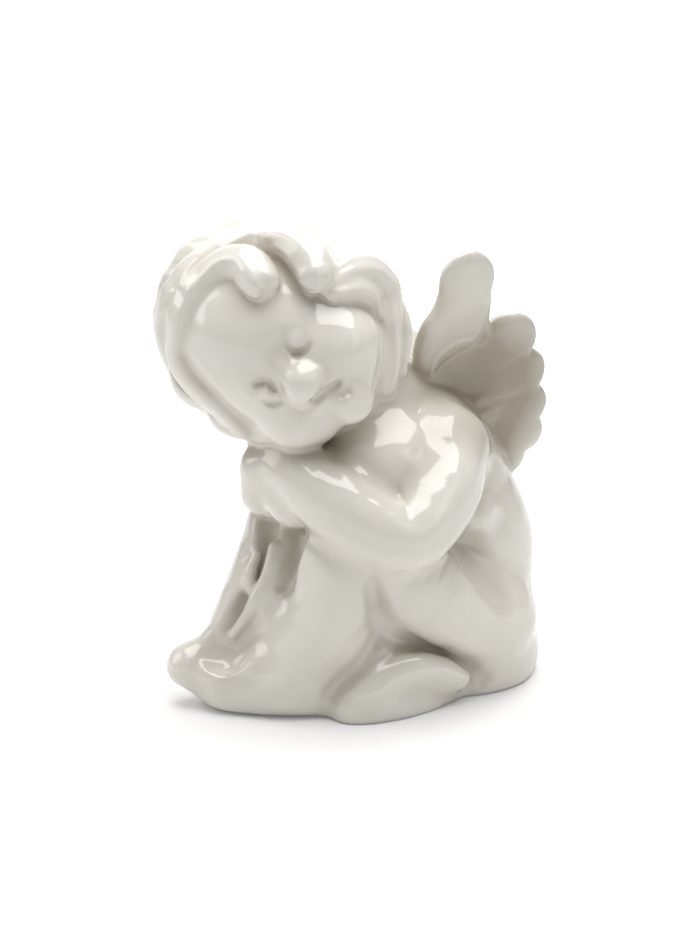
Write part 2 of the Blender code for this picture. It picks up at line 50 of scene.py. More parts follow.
STRAND_DEPTH = 0.12
block = np.ceil((BLOCK_HIGH - BLOCK_LOW) / GRAIN).astype(int) + 1
lines = [BLOCK_LOW[i] + GRAIN * np.arange(block[i]) for i in range(3)]


def new_clay():
    return np.full(block, FAR, np.float32)


def soft_union(a, b, soft):
    """Two forms in one, with a fillet where they meet."""
    overlap = np.maximum(soft - np.abs(a - b), 0.0) / soft
    return np.minimum(a, b) - overlap * overlap * soft / 4


def patch(low, high, margin):
    """The part of the block around a form, and its coordinates."""
    low = np.floor((np.asarray(low) - margin - BLOCK_LOW) / GRAIN).astype(int)
    high = np.ceil((np.asarray(high) + margin - BLOCK_LOW) / GRAIN).astype(int) + 1
    low, high = np.clip(low, 0, block), np.clip(high, 0, block)
    cut = tuple(slice(a, b) for a, b in zip(low, high))
    return cut, np.ix_(*(lines[i][cut[i]] for i in range(3)))


def press(clay, cut, form, soft, carve):
    """Adds a form to the clay, or presses it in as a hollow."""
    if carve:
        clay[cut] = -soft_union(-clay[cut], form, soft)
    else:
        clay[cut] = soft_union(clay[cut], form, soft)


def ball(clay, centre, radii, soft=3.0, turn=None, carve=False):
    """An ellipsoid of clay; turn holds its three axes as rows."""
    radii = np.broadcast_to(np.asarray(radii, float), 3)
    reach = np.full(3, radii.max()) if turn is not None else radii
    cut, (x, y, z) = patch(centre - reach, np.asarray(centre) + reach, soft + MARGIN)
    x, y, z = x - centre[0], y - centre[1], z - centre[2]
    if turn is not None:
        x, y, z = (row[0] * x + row[1] * y + row[2] * z for row in turn)
    near = np.sqrt((x / radii[0]) ** 2 + (y / radii[1]) ** 2 + (z / radii[2]) ** 2)
    slope = np.sqrt((x / radii[0] ** 2) ** 2 + (y / radii[1] ** 2) ** 2 + (z / radii[2] ** 2) ** 2)
    form = near * (near - 1.0) / np.maximum(slope, 1e-6)
    press(clay, cut, form.astype(np.float32), soft, carve)


def smooth_path(points, radii, steps):
    """Points and radii along a smooth curve through the given ones."""
    points = np.column_stack((np.asarray(points, float), np.asarray(radii, float)))
    ends = np.vstack((2 * points[0] - points[1], points, 2 * points[-1] - points[-2]))
    made = []
    for a, b, c, d in zip(ends, ends[1:], ends[2:], ends[3:]):
        for t in np.arange(steps) / steps:
            made.append(
                0.5 * (2 * b + (c - a) * t + (2 * a - 5 * b + 4 * c - d) * t**2
                       + (3 * b - a - 3 * c + d) * t**3)
            )
    made.append(points[-1])
    made = np.array(made)
    return made[:, :3], np.maximum(made[:, 3], 0.1)


def limb(clay, points, radii, soft=3.0, carve=False, steps=12, strands=0, heart=None):
    """A round roll of clay along a curve, its thickness changing from point to point.

    Strands are the number of grooves combed along it, counted from the side away from its heart.
    """
    path, thick = smooth_path(points, radii, steps)
    margin = soft + MARGIN
    widest = thick.max()
    cut, _ = patch(path.min(0) - widest, path.max(0) + widest, margin)
    form = np.full([s.stop - s.start for s in cut], FAR, np.float32)
    for a, b, ra, rb in zip(path, path[1:], thick, thick[1:]):
        widest = max(ra, rb)
        part, (x, y, z) = patch(np.minimum(a, b) - widest, np.maximum(a, b) + widest, margin)
        along = b - a
        x, y, z = x - a[0], y - a[1], z - a[2]
        t = (x * along[0] + y * along[1] + z * along[2]) / max(along @ along, 1e-9)
        t = np.clip(t, 0.0, 1.0)
        x, y, z = x - t * along[0], y - t * along[1], z - t * along[2]
        gap = np.sqrt(x**2 + y**2 + z**2)
        if strands:
            out = np.cross(np.cross(along, (a + b) / 2 - heart), along)
            out /= np.linalg.norm(out)
            beside = np.cross(along, out) / np.linalg.norm(along)
            turn = np.arctan2(x * beside[0] + y * beside[1] + z * beside[2],
                              x * out[0] + y * out[1] + z * out[2])
            gap = gap + STRAND_DEPTH * np.cos(strands * turn) * np.minimum(gap / widest, 1.0)
        local = tuple(slice(p.start - c.start, p.stop - c.start) for p, c in zip(part, cut))
        form[local] = np.minimum(form[local], gap - (ra + (rb - ra) * t))
    press(clay, cut, form, soft, carve)


model = new_clay()
nearest = new_clay()
owner = np.zeros(block, np.int8)
sections = []


def join(name, clay, soft):
    """Joins a section's clay to the model, and notes which clay is its own."""
    sections.append(name)
    owner[clay < nearest] = len(sections)
    nearest[:] = np.minimum(nearest, clay)
    model[:] = soft_union(model, clay, soft)


TRUNK = {
    "seat": ((2.0, 20.5, 4.5), (20.6, 18.2, 19.5), 6),
    "back": ((2.0, 20.8, 24.0), (19.0, 16.6, 21.5), 6),
    "ribs": ((1.5, 15.5, 43.0), (16.4, 13.4, 12.6), 7),
    "shoulders": ((1.0, 10.5, 50.0), (16.0, 8.6, 7.2), 6),
    "lap": ((0.0, 1.0, 17.0), (12.5, 16.5, 20.0), 5),
    "chest": ((1.0, 3.0, 44.0), 11.8, 6),
    "left chest": ((8.5, -1.5, 46.0), (10.5, 10.5, 9.5), 5),
    "lap beside the left shin": ((6.5, -3.0, 13.0), (10.5, 13.0, 14.0), 5),
}
NECK = ((1.5, 13, 46), (2, 6, 54.5), (2.5, 0, 59))
SIDE = {
    "under the left shoulder": ((12.0, 3.0, 48.0), 6.0, 6),
    "left flank": ((15.0, 14.0, 35.0), (6.5, 6.5, 4.5), 3),
}
torso = new_clay()
for centre, radii, soft in TRUNK.values():
    ball(torso, centre, radii, soft)
limb(torso, NECK, (10, 9.2, 8.5), soft=6)
for centre, radii, soft in SIDE.values():
    ball(torso, centre, radii, soft)
join("torso", torso, 3.0)

# Legs: solid porcelain castings drawn up in front of the torso, each with its thigh, knee, shin and
# foot, and luted to it with slip. A low ridge runs over the left toes, and a web on the right leg
# closes the valley between the shins.
LEFT_LEG = ((14, 20, 13), (15, 7, 21.5), (11, -7.5, 33), (8.5, -11.5, 21), (2.5, -16.5, 9))
LEFT_FOOT = ((4.5, -11.5, 5), (-1, -18.5, 5.0), (-5.6, -24.2, 4.6))
LEFT_TOES = ((-9.5, -28.5, 8.2), (-4, -28.2, 7.6), (0.6, -24.6, 9.6))
left_leg = new_clay()
limb(left_leg, LEFT_LEG, (11.0, 10.2, 8.6, 8.2, 7.2), soft=3)
limb(left_leg, LEFT_FOOT, (7.6, 7.2, 5.8), soft=5)
limb(left_leg, LEFT_TOES, (1.4, 1.8, 1.6), soft=2.5)
join("left_leg", left_leg, 2.0)

RIGHT_LEG = ((-13, 19, 14), (-12, 6, 25), (-6, -7.5, 35), (-6, -14, 24), (-8, -21.4, 10))
RIGHT_FOOT = ((-8, -19, 5), (-9.5, -24.2, 5.4), (-11.6, -29.2, 7.6))
WEB_CENTRE, WEB_RADII = (-1.0, -13.0, 16.0), (8.0, 8.5, 16.0)
right_leg = new_clay()
limb(right_leg, RIGHT_LEG, (10.5, 9.8, 8.0, 7.4, 6.2), soft=3)
limb(right_leg, RIGHT_FOOT, (6.0, 5.4, 4.2), soft=4)
ball(right_leg, WEB_CENTRE, WEB_RADII, soft=3)
join("right_leg", right_leg, 2.4)

# Mound: the smooth fold of clay on the ground that props the left thigh. It is pressed from one
# lump, with a rounded edge along its outer side, and luted under the leg.
LUMP = {
    "under the thigh": ((13.6, 2.0, 1.5), (7.2, 16.0, 12.0), 2),
    "beside the shin": ((8.0, -6.5, 2.0), (7.0, 8.0, 8.0), 4),
}
MOUND_EDGE = ((15.5, -8.5, 6), (18, -3, 9), (19.6, 3, 8.6), (20.6, 9, 5.6))
base_mound = new_clay()
for centre, radii, soft in LUMP.values():
    ball(base_mound, centre, radii, soft)
limb(base_mound, MOUND_EDGE, (2.4, 3.0, 3.0, 2.4), soft=3)
join("base_mound", base_mound, 1.4)

# Folds: they are pressed into the joined clay with a modelling tool, at the hip, along the calf and
# under the thigh, as the dish over the toes, and as the two pits between the shins. The glaze has
# left two ridges in the pits.
FOLDS = {
    "hip": (((20, 8.5, 32), (22, 11.6, 27.6), (24.8, 15.3, 21.5)), (1.2, 2.2, 1.4), 5),
    "calf": (
        ((18.8, -10.5, 27), (17.4, -8, 21), (16.6, -6.7, 16.4), (15.4, -10.2, 11), (12.4, -15, 5.5)),
        (0.7, 0.9, 0.9, 0.8, 0.6), 2.5,
    ),
    "under the thigh": (
        ((16.8, -5.5, 15.4), (18.2, 1.9, 12.2), (19.8, 7.9, 8), (21.8, 14.4, 3.4)),
        (0.7, 0.7, 0.6, 0.5), 2.5,
    ),
    "dish": (((-2.4, -24.8, 19), (-2.8, -27.2, 15.4), (-3.4, -28.0, 12.4)), (2.0, 3.4, 4.0), 3),
    "left pit": (((5.5, -16.5, 36), (4.2, -16.5, 30), (3.4, -18.4, 24.5)), (1.8, 1.7, 0.9), 2),
    "right pit": (
        ((-3, -16.8, 35), (-2, -18.9, 28.5), (-3, -21.8, 21.2), (-4.6, -24.6, 15.5)),
        (1.7, 1.9, 1.9, 1.3), 2,
    ),
}
RIDGES = {
    "long": (
        ((-1, -17.6, 31), (-0.8, -19.8, 25), (-2.4, -22.6, 19), (-4.4, -24.6, 14.5)),
        (0.7, 0.9, 0.9, 0.6),
    ),
    "short": (((-3.6, -19.2, 29), (-3.8, -20.6, 25.5), (-3.4, -20.6, 22.5)), (0.6, 0.8, 0.6)),
}
for path, radii, soft in FOLDS.values():
    limb(model, path, radii, soft, carve=True)
for path, radii in RIDGES.values():
    limb(model, path, radii, soft=2)

# Arms: solid porcelain castings luted on at the shoulders and folded over the knees. The left hand
# is a rounded mitt that hangs over the right one.
LEFT_ARM = (
    (14, 11, 47.5), (19.5, 4, 41), (20, -5, 36), (12.5, -13.5, 42), (4.5, -16.5, 47),
    (-2, -16.5, 45.5),
)
LEFT_HAND = ((-2.0, -16.5, 45.5), (-3.4, -18.0, 41.0))
left_arm = new_clay()
limb(left_arm, LEFT_ARM, (8.2, 7.35, 6.7, 6.7, 5.6, 5.8), soft=3)
limb(left_arm, LEFT_HAND, (5.2, 4.0), soft=2)
join("left_arm", left_arm, 3.0)

RIGHT_ARM = (
    (-12.5, 12, 47.5), (-19, 6, 42), (-18.5, -1, 38.5), (-11, -8, 41), (-3.5, -12.5, 40.5),
    (3.5, -16, 41),
)
right_arm = new_clay()
limb(right_arm, RIGHT_ARM, (8.0, 7.2, 6.8, 6.5, 5.0, 5.2), soft=3)
join("right_arm", right_arm, 2.0)

# Head: a hollow porcelain casting lying on its right cheek, with the face, the hair cap and the
# neck. Its hair spreads from a whorl at the back of the crown, in locks parted by shallow combed
# lines, and lies round the face in smooth rolls.
HEAD_CENTRE = np.array((-6.0, -12.7, 69.0))
CROWN = np.array((-0.67, -0.57, 0.48))
CROWN /= np.linalg.norm(CROWN)
HEAD_LEFT = np.cross(CROWN, (0.67, -0.75, 0.05))
HEAD_LEFT /= np.linalg.norm(HEAD_LEFT)
HEAD_BACK = np.cross(CROWN, HEAD_LEFT)
HEAD_AXES = np.array((HEAD_LEFT, HEAD_BACK, CROWN))
HEAD_REACH = 26.0
MIDLINE = 0.3
WHORL = np.array((-0.15, 0.55, 0.82))
LOCKS, LOCK_DEPTH = 11, 0.55
COMB_LINES, COMB_DEPTH = 33, 0.16


def on_head(left, forward, drop):
    """A place on the head, counted from its centre in the head's own directions."""
    return HEAD_CENTRE + np.array((left, -forward, -drop)) @ HEAD_AXES


def head_ball(clay, left, forward, drop, radii, soft=2.0, carve=False):
    ball(clay, on_head(left, forward, drop), radii, soft, HEAD_AXES, carve)


def head_roll(clay, places, radii, soft=1.0, carve=False, strands=0):
    places = [on_head(*place) for place in places]
    limb(clay, places, radii, soft, carve, strands=strands, heart=HEAD_CENTRE)


def ramp(value, low, high):
    """Rises smoothly from 0 at low to 1 at high."""
    t = np.clip((value - low) / (high - low), 0.0, 1.0)
    return t * t * (3.0 - 2.0 * t)


def comb(clay):
    """Combs the hair cap: locks and finer lines that wave as they run down from the whorl."""
    cut, (x, y, z) = patch(HEAD_CENTRE - HEAD_REACH, HEAD_CENTRE + HEAD_REACH, 0.0)
    x, y, z = x - HEAD_CENTRE[0], y - HEAD_CENTRE[1], z - HEAD_CENTRE[2]
    left, back, up = (row[0] * x + row[1] * y + row[2] * z for row in HEAD_AXES)
    length = np.maximum(np.sqrt(left**2 + back**2 + up**2), 1.0)
    axis = WHORL / np.linalg.norm(WHORL)
    beside = np.cross(axis, (0.0, -axis[2], axis[1]))
    beside /= np.linalg.norm(beside)
    below = np.cross(axis, beside)
    rise, across, down = (left * d[0] + back * d[1] + up * d[2] for d in (axis, beside, below))
    turn = np.arctan2(down, across)
    away = np.arccos(np.clip(rise / length, -1.0, 1.0))
    wave = 0.9 * np.sin(2.6 * away + 0.6) + 0.5 * np.sin(5.1 * away + 2.0 * np.sin(2 * turn))
    lock = np.abs(np.sin((LOCKS * turn + wave) / 2))
    line = 0.5 - 0.5 * np.cos(COMB_LINES * turn + 2.4 * wave)
    depth = LOCK_DEPTH * (1.0 - lock) ** 1.6 + COMB_DEPTH * line
    face = (0.92 * -back - 0.38 * up) / length
    shown = ramp(away, 0.12, 0.55) * ramp(-face, -0.42, -0.10) * ramp(up / length, -0.85, -0.6)
    clay[cut] += (depth * shown).astype(np.float32)


# The skull is combed before the neck and the soft forms of the face are set on it.
SKULL, SKULL_RADII = (0.7, -1.5, -3.0), (17.75, 19.3, 19.5)
NECK_TOP, NECK_FOOT = on_head(0, -1.5, 12), (2.0, 6.0, 55.0)
FACE = {
    "jaw": (0.5, 5.0, 5.0, (15.4, 14.0, 16.0)),
    "brow": (0.7, 8.6, -2.5, (12.6, 10.2, 11.0)),
    "chin": (0.0, 12.6, 17.4, 4.4),
    "right cheek": (-7.1, 10.6, 11.0, (7.2, 6.6, 6.8)),
    "left cheek": (6.4, 10.6, 11.4, (7.3, 6.9, 7.0)),
}
head = new_clay()
head_ball(head, *SKULL, SKULL_RADII)
comb(head)
limb(head, (NECK_TOP, NECK_FOOT), (9.5, 9.3), soft=5)
for left, forward, drop, radii in FACE.values():
    head_ball(head, MIDLINE + left, forward, drop, radii, soft=3)

# On each side an eye socket, a closed lid and a nostril, then the nose and the two lips.
NOSE_LINE = MIDLINE - 0.2
NOSE_BRIDGE = ((MIDLINE, 16.8, 3.2), (MIDLINE, 18.2, 8.0))
UPPER_LIP = ((MIDLINE - 2.8, 15.8, 13.3), (MIDLINE, 16.8, 13.2), (MIDLINE + 2.8, 15.8, 13.3))
for side in (-1, 1):
    head_ball(head, MIDLINE + side * 4.1, 21.8, 4.2, (3.8, 3.8, 2.8), soft=3, carve=True)
    head_ball(head, MIDLINE + side * 4.2, 16.6, 4.2, (2.8, 2.0, 1.8), soft=1.2)
    head_ball(head, NOSE_LINE + side * 2.0, 17.8, 9.9, 1.7, soft=1.6)
head_roll(head, NOSE_BRIDGE, (1.2, 2.0), soft=2.5)
head_ball(head, NOSE_LINE, 18.6, 9.2, 2.9, soft=2)
head_roll(head, UPPER_LIP, (1.0, 1.2, 1.0), soft=2.0)
head_ball(head, MIDLINE + 0.4, 15.4, 16.6, (2.6, 2.0, 1.6), soft=2)

# Lines drawn into the face: the edges of the lids and a crease by the right eye, then the mouth and
# the dimple under it, which the glaze has softened more.
FACE_LINES = (
    (((4.6, 18.4, 3.1), (4.0, 18.4, 4.6), (4.2, 18.0, 5.8), (5.2, 18.0, 6.7), (6.6, 17.9, 6.8)),
     (0.4, 0.7, 0.8, 0.7, 0.4), 0.6),
    (((-4.6, 18.0, 1.9), (-3.6, 18.3, 2.9), (-3.2, 18.5, 3.9), (-3.6, 18.0, 5.4)),
     (0.4, 0.7, 0.8, 0.4), 0.6),
    (((-6.7, 17.3, 4.6), (-6.3, 17.6, 6.2), (-5.0, 18.0, 7.4)), (0.3, 0.5, 0.4), 0.6),
    (((-1.4, 18.3, 12.6), (0.4, 18.2, 13.4), (2.0, 17.5, 14.2), (3.0, 16.9, 14.4)),
     (0.5, 0.5, 0.6, 0.3), 1.6),
    (((1.4, 17.5, 16.0), (2.4, 17.2, 16.6)), (0.4, 0.5), 1.6),
)
for places, radii, soft in FACE_LINES:
    head_roll(head, places, radii, soft, carve=True)

# Hair rolls: three long ones from the forehead round the right side, and two short locks on them.
HAIR_ROLLS = (
    (((3.0, 12.0, -15.4), (-2.6, 12.1, -14.6), (-8.0, 11.0, -12.5), (-10.8, 11.5, -8.4),
      (-11.9, 11.6, -4.0), (-14.8, 8.6, 2.8)),
     (2.8, 2.8, 2.8, 2.9, 2.9, 2.4), 0.9),
    (((14.5, 6.0, -12.0), (7.0, 8.6, -16.6), (-3.0, 7.8, -17.6), (-9.3, 5.0, -14.8),
      (-13.6, 3.2, -9.8), (-15.6, 3.6, -4.0), (-15.6, 5.5, 1.5), (-14.0, 8.5, 7.0)),
     (2.7, 3.0, 3.0, 2.9, 2.8, 2.7, 2.6, 2.2), 3.2),
    (((12.0, -3.0, -15.6), (4.0, 0.0, -19.6), (-6.0, 0.0, -18.6), (-12.0, -2.0, -13.6),
      (-15.8, -3.0, -7.5), (-16.8, -1.5, -1.0), (-16.6, 2.5, 4.5), (-15.0, 5.5, 8.6)),
     (2.4, 2.7, 2.7, 2.6, 2.4, 2.3, 2.2, 2.0), 3.2),
    (((-11.8, 6.0, -12.4), (-14.0, 7.0, -8.7), (-14.0, 9.0, -4.6)), (2.2, 3.0, 2.0), 0.7),
    (((-14.8, 7.0, -3.1), (-15.7, 7.0, 0.8), (-15.2, 7.0, 5.7)), (2.2, 3.0, 1.8), 0.7),
)
for places, radii, soft in HAIR_ROLLS:
    head_roll(head, places, radii, soft, strands=5)
join("head", head, 1.6)

# Curls: four sprigs of clay, each pressed in a mould of its own, scored with the strands of the
# hair and stuck on over the left temple with slip. The forelock's tip is dished with a thumb.
CURLS = {
    "forelock": (
        (((3.4, 12.4, -15.3), (9.2, 11.8, -13.4), (12.0, 13.0, -10.0), (11.8, 14.8, -7.4),
          (11.4, 16.0, -6.0)), (2.4, 2.9, 3.5, 3.7, 3.4)),
    ),
    "brow_curl": (
        (((16.0, 6.5, -9.0), (18.2, 9.0, -4.6), (17.9, 11.4, -0.6), (16.8, 13.4, 1.6)),
         (2.6, 3.4, 3.8, 3.4)),
    ),
    "temple_curl": (
        (((16.4, 12.2, 3.6), (18.9, 8.0, 6.0), (19.6, 4.0, 9.2), (17.8, 1.6, 13.2),
          (13.8, 3.0, 16.2)), (2.4, 3.0, 3.2, 3.0, 2.4)),
        (((15.6, 12.4, 5.6), (17.0, 9.0, 8.6), (16.4, 6.2, 11.6), (14.2, 5.0, 13.8)),
         (2.2, 2.6, 2.1, 1.4)),
    ),
    "nape_lock": (
        (((16.4, 0.0, 12.5), (13.2, 3.0, 16.4), (7.8, 3.2, 20.0), (3.0, 2.6, 22.0)),
         (2.4, 2.5, 2.2, 1.7)),
        (((16.5, -4.5, 12.5), (12.5, -1.0, 18.5), (6.0, -1.0, 22.2)), (2.6, 2.6, 1.8)),
    ),
}
for name, rolls in CURLS.items():
    curl = new_clay()
    for places, radii in rolls:
        head_roll(curl, places, radii, soft=0.8, strands=6)
    if name == "forelock":
        head_ball(curl, 10.6, 19.6, -2.4, (3.8, 2.8, 2.6), soft=1.0, carve=True)
    join(name, curl, 1.8 if name == "nape_lock" else 0.8)

# Wings: pressed porcelain blades stuck on behind the shoulders, with six lobed feathers parted by
# grooves, two pads of short feathers towards the root, and a hollow pressed into the front.
# A feather is its base and tip in the wing's plane, its half width, and how far it is set back.
FEATHERS = (
    ((-6.0, 10.0), (-4.9, 37.6), 5.6, 0.0),
    ((-6.0, 9.0), (8.6, 22.4), 6.0, -0.4),
    ((-5.0, 7.0), (12.8, 12.6), 6.0, -0.8),
    ((-3.0, 4.0), (14.4, 4.0), 5.8, -1.2),
    ((-2.0, 1.0), (14.2, -3.4), 5.4, -1.6),
    ((-2.0, -3.0), (11.2, -9.4), 5.0, -2.0),
)
LOBE_SHARE = 0.94
BLADE_HALF, LOBE_HALF = 2.2, 2.0
PADS = (((-7.0, 18.5, 0.4), (7.3, 9.6, 3.0), 1.2), ((-3.0, 8.0, -0.6), (7.0, 10.0, 3.2), 2.0))
HOLLOW_BALL, HOLLOW_BALL_RADIUS = (-3.6, 13.0, 12.0), 12.4
HOLLOW_MIDDLE = (-1.0, 8.0, 0.0)
GROOVE_SHARE = 0.76
GROOVE_RADII = (0.8, 1.1, 0.8)
GROOVE_FRONT, GROOVE_BACK = 2.5, -3.0
shaded_bowls = []
for name, side, lean in (
    ("left_wing", 1, (0.23, -0.08, 0.97)),
    ("right_wing", -1, (-0.50, -0.10, 0.85)),
):
    wing = new_clay()
    root = np.array((9.5 * side, 22.5, 48.0))
    along = np.array((0.35 * side, 0.94, 0.0))
    along /= np.linalg.norm(along)
    through = np.cross(along, lean)
    through *= side / np.linalg.norm(through)
    wing_axes = np.array((along, np.cross(through, along) * side, through))
    for base, tip, half, set_back in FEATHERS:
        base, tip = np.array((*base, set_back)), np.array((*tip, set_back))
        reach = tip - base
        length = np.linalg.norm(reach)
        reach = reach / length
        blade = np.array((reach, (-reach[1], reach[0], 0.0), (0.0, 0.0, 1.0))) @ wing_axes
        middle = root + (base + tip) / 2 @ wing_axes
        ball(wing, middle, (length / 2, half, BLADE_HALF), 0.7, blade)
        end = half * LOBE_SHARE
        ball(wing, root + (tip - reach * end) @ wing_axes, (end, end, LOBE_HALF), 0.9, wing_axes)
    for place, radii, soft in PADS:
        ball(wing, root + np.array(place) @ wing_axes, radii, soft, wing_axes)
    ball(wing, root + np.array(HOLLOW_BALL) @ wing_axes, HOLLOW_BALL_RADIUS, 1.5, carve=True)
    for (base, tip, *_), (next_base, next_tip, *_) in zip(FEATHERS, FEATHERS[1:]):
        start = (np.array(base) + next_base) / 2
        stop = (np.array(tip) + next_tip) / 2
        stop = start + (stop - start) * GROOVE_SHARE
        for face in (GROOVE_FRONT, GROOVE_BACK):
            groove = [root + np.array((*spot, face)) @ wing_axes
                      for spot in (start * 0.7 + stop * 0.3, (start + stop) / 2, stop)]
            limb(wing, groove, GROOVE_RADII, 1.0, carve=True)
    # Each hollow's middle and the way it faces, which set where the painted shade goes.
    shaded_bowls.append((root + np.array(HOLLOW_MIDDLE) @ wing_axes, through))
    join(name, wing, 1.0)

# Hand finish: the figure is sponged smooth before it is fired. The sponge leaves the clay slightly
# wavy, so that highlights wander on the glaze.
WAVE_LENGTHS = (19.0, 13.0, 9.5, 7.5)
WAVE_SHARE = 0.007
chance = np.random.default_rng(7)
for length in WAVE_LENGTHS:
    waves = []
    for line in lines:
        start, stretch = chance.uniform(0, 2 * math.pi), chance.uniform(0.8, 1.25)
        waves.append(np.sin(line * 2 * math.pi / (length * stretch) + start))
    model += WAVE_SHARE * length * np.einsum("i,j,k->ijk", *waves).astype(np.float32)

# Foot rim: the figure is ground flat on a tile, so that it stands, and the edge is wiped round.
# The ground is the plane through the part's resting face.
RIM_ROUND = 1.0
model = -soft_union(-model, np.broadcast_to(lines[2], block).astype(np.float32), RIM_ROUND)

# Vent: the round hole cut under the seat, which lets the air out in firing, and the part of the
# cast hollow that can be seen through it.
CAVITY_CENTRE, CAVITY_RADII = (2.0, 20.5, 14.0), (12.0, 10.5, 9.5)
VENT, VENT_RADIUS = ((2.0, 20.5, -6.0), (2.0, 20.5, 9.0)), 4.0
VENT_ROUND = 0.8
CAVITY_SKIN = 1.5
hollow = new_clay()
ball(hollow, CAVITY_CENTRE, CAVITY_RADII)
limb(hollow, VENT, (VENT_RADIUS, VENT_RADIUS), soft=1.0)
model = -soft_union(-model, hollow, VENT_ROUND)
owner[hollow < CAVITY_SKIN] = sections.index("torso") + 1

# Glaze: the glossy coat that the whole figure is dipped in and fired with. It runs over the joints
# unbroken, so the clay is meshed as one skin, which is then parted along the sections' joints.
# Where a spot is shut in, its colour gets painted shade, warmed a little as pooled glaze would be;
# the wings' hollows, where they face forward, get the most painted shade.
SETTLE_ROUNDS = 3
RECESS_SHADE_REACHES = (1.0, 2.0, 3.5, 5.0, 7.0)
RECESS_SHADE_FULL, RECESS_SHADE_SHARE = 3.0, 0.5
BOWL_SHADE_REACH, BOWL_PAINTED_SHADE = 20.0, 2.0
SORT_ROUNDS = 12
CUT_DEPTH = 1.2 * MM
CAP_EDGE = 2.0 * MM
grid = openvdb.FloatGrid()
grid.background = FAR
grid.copyFromArray(model)
spots, quads = grid.convertToQuads(isovalue=0.0)
gradient = np.stack(np.gradient(model, GRAIN), axis=-1)


def sample(values, spots):
    """Values of a block between its points, at spots counted in grains."""
    base = np.clip(np.floor(spots).astype(int), 0, block - 2)
    t = (spots - base).astype(np.float32)
    total = 0.0
    for corner in np.ndindex(2, 2, 2):
        weight = np.prod(np.where(corner, t, 1 - t), axis=1)
        i, j, k = (base + corner).T
        value = values[i, j, k]
        total = total + value * (weight[:, None] if value.ndim == 2 else weight)
    return total


spots = spots.astype(np.float32)
for _ in range(SETTLE_ROUNDS):
    slope = sample(gradient, spots)
    step = sample(model, spots) / np.maximum((slope**2).sum(1), 0.05)
    spots -= np.clip(step[:, None] * slope / GRAIN, -0.5, 0.5)
normals = sample(gradient, spots)
normals /= np.linalg.norm(normals, axis=1, keepdims=True)
points = (BLOCK_LOW + spots * GRAIN) * MM

# Painted shade: how shut in each spot is, read from the clay's distance along its normal, darkens
# its colour in creases and recesses, with a little of the warmth of pooled glaze.
shade_and_pooled_glaze = np.zeros(len(spots), np.float32)
for reach in RECESS_SHADE_REACHES:
    clear = sample(model, spots + normals * (reach / GRAIN))
    shade_and_pooled_glaze += np.clip(1.0 - clear / reach, 0.0, 1.0)
shade_and_pooled_glaze = RECESS_SHADE_SHARE * np.clip(shade_and_pooled_glaze / RECESS_SHADE_FULL, 0.0, 1.0)
# Painted shade in the wings' hollows, strongest at their middle and where the surface faces forward.
for bowl, facing in shaded_bowls:
    depth = 1.0 - np.linalg.norm(BLOCK_LOW + spots * GRAIN - bowl, axis=1) / BOWL_SHADE_REACH
    shade_and_pooled_glaze += BOWL_PAINTED_SHADE * np.clip(depth, 0.0, 1.0) * np.clip(normals @ facing, 0.0, 1.0)
shade_and_pooled_glaze = np.clip(shade_and_pooled_glaze, 0.0, 1.0)

middle = spots[quads].mean(1)
i, j, k = np.clip(np.rint(middle).astype(int), 0, block - 1).T
labels = owner[i, j, k].astype(int)
corner = points[quads]
outward = np.cross(corner[:, 2] - corner[:, 0], corner[:, 3] - corner[:, 1])
if (outward * normals[quads].mean(1)).sum() < 0:
    quads = quads[:, ::-1]

# Faces that sit among another section's faces go to it, which also evens the lines of the joints.
edges = np.sort(np.stack([quads, np.roll(quads, -1, 1)], -1).reshape(-1, 2), 1)
keys = edges[:, 0].astype(np.int64) * len(points) + edges[:, 1]
order = np.argsort(keys, kind="stable")
twin = np.zeros(len(keys), int)
paired = keys[order[:-1]] == keys[order[1:]]
first, second = order[:-1][paired], order[1:][paired]
twin[first], twin[second] = second, first
beside = (twin // 4).reshape(-1, 4)
rows = np.arange(len(labels))
for _ in range(SORT_ROUNDS):
    votes = np.zeros((len(labels), len(sections) + 1), np.int8)
    votes[rows, labels] += 1
    for side in range(4):
        votes[rows, labels[beside[:, side]]] += 1
    labels = votes.argmax(1)


def add_node(nodes, kind, values):
    """A shader node with values on its own sockets."""
    made = nodes.new("ShaderNode" + kind)
    for socket, value in values.items():
        made.inputs[socket].default_value = value
    return made


def blend(nodes, links, amount, first, second):
    """A colour between two, each of them a colour or another node's output."""
    mix = nodes.new("ShaderNodeMix")
    mix.data_type = "RGBA"
    links.new(amount, mix.inputs[0])
    for socket, colour in ((mix.inputs[6], first), (mix.inputs[7], second)):
        if isinstance(colour, tuple):
            socket.default_value = colour
        else:
            links.new(colour, socket)
    return mix.outputs[2]


# The glaze is a warm white with faint clouds. Painted shade makes it darker and warmer in recesses
# and creases and in the wings' hollows, partly standing for pooled glaze.
glaze = bpy.data.materials.new("white_glaze")
glaze.use_nodes = True
nodes, links = glaze.node_tree.nodes, glaze.node_tree.links
shader = nodes["Principled BSDF"]
shader.inputs["IOR"].default_value = 1.62
painted_shade_attribute = nodes.new("ShaderNodeAttribute")
painted_shade_attribute.attribute_name = "shade_and_pool"
place = nodes.new("ShaderNodeTexCoord")
cloud = add_node(nodes, "TexNoise", {"Scale": 60.0, "Detail": 3.0})
links.new(place.outputs["Object"], cloud.inputs["Vector"])
body = blend(nodes, links, cloud.outputs["Fac"], (0.82, 0.785, 0.71, 1.0), (0.86, 0.83, 0.76, 1.0))
# Painted shade: the colour is mixed towards a dark warm grey as far as the stored shade amount goes.
body_with_painted_shade = blend(nodes, links, painted_shade_attribute.outputs["Fac"], body, (0.39, 0.345, 0.26, 1.0))
shine = add_node(nodes, "MapRange", {"To Min": 0.04, "To Max": 0.10})
links.new(cloud.outputs["Fac"], shine.inputs["Value"])

